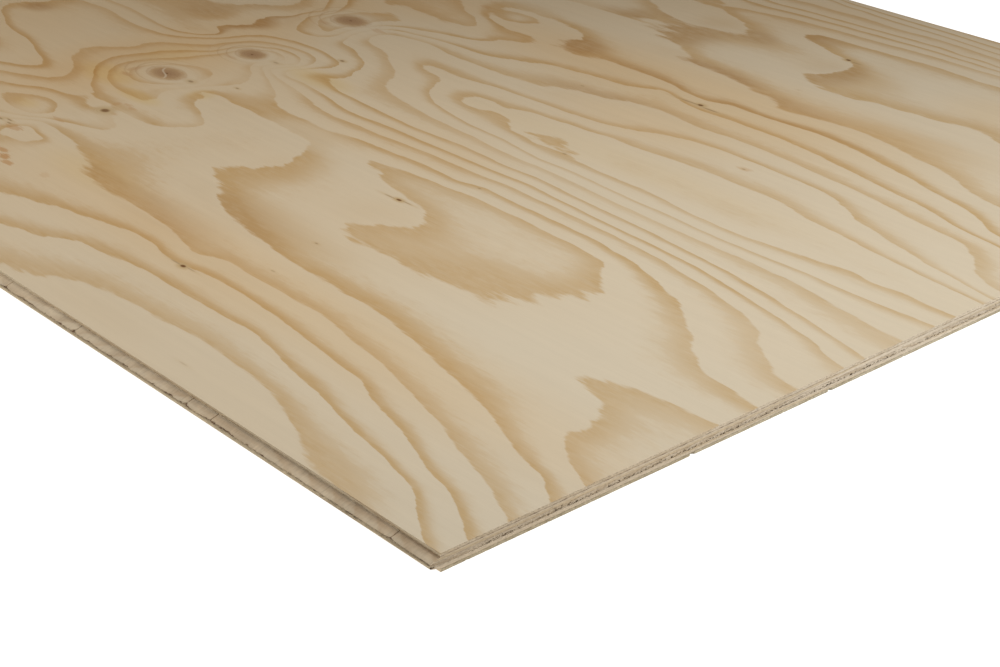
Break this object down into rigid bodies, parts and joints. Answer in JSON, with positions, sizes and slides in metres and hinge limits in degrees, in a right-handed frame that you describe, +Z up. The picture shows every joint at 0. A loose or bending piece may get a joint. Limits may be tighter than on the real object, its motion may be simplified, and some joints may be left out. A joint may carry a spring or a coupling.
{
  "type": "plywood sheet",
  "caption": "Flat sheet of bare softwood plywood with a tapered tongue along one long edge and a matching groove along the other, for floors and decks.",
  "frame": {"origin": "under the middle of the sheet, on the plane of its underside, halfway between the two ends and between the tongue's tip and the groove edge", "axes": "+X along the sheet's length and the face grain; +Y across it, from the tongue edge to the groove edge; +Z up, square to the face"},
  "size_m": [2.4, 1.2094, 0.015],
  "materials": {
    "face_veneer": "sanded bare pine, rotary-peeled figure with knots",
    "back_veneer": "bare pine, rotary-peeled, lightly sanded",
    "crossband": "bare pine, sawn and milled, grain across the sheet",
    "core_veneer": "bare pine, sawn and milled, grain along the sheet"
  },
  "bodies": {
    "root": {"back_veneer": "back_veneer", "lower_crossband": "crossband", "core_veneer": "core_veneer", "upper_crossband": "crossband", "face_veneer": "face_veneer"}
  },
  "joints": []
}
